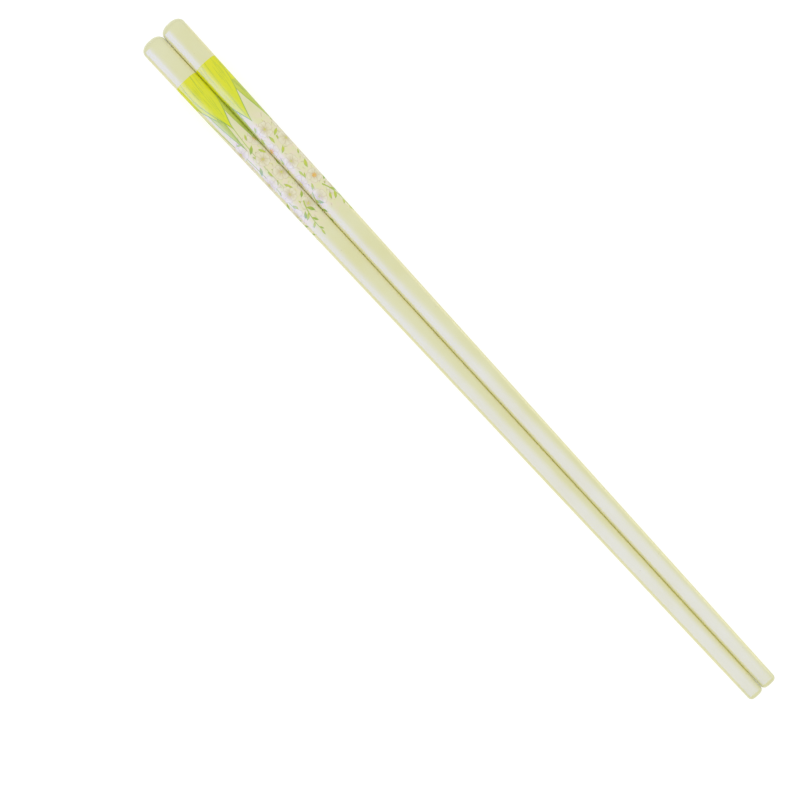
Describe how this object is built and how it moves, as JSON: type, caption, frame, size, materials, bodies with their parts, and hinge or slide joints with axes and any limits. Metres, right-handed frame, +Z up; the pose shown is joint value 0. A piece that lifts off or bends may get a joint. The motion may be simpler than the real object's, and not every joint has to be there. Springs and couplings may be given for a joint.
{
  "type": "pair of ceramic chopsticks",
  "caption": "Tapered glazed ceramic chopsticks with a square domed head, a round tip and a leaf and blossom band, laid side by side.",
  "frame": {"origin": "on the table plane under the middle of the pair", "axes": "+X along the sticks towards the tips, +Y towards the left stick, +Z up"},
  "size_m": [0.27, 0.016, 0.008],
  "materials": {
    "glaze": "glossy ivory glaze with a green and pale floral band near the head"
  },
  "bodies": {
    "root": {"left_chopstick": "glaze", "right_chopstick": "glaze"}
  },
  "joints": []
}
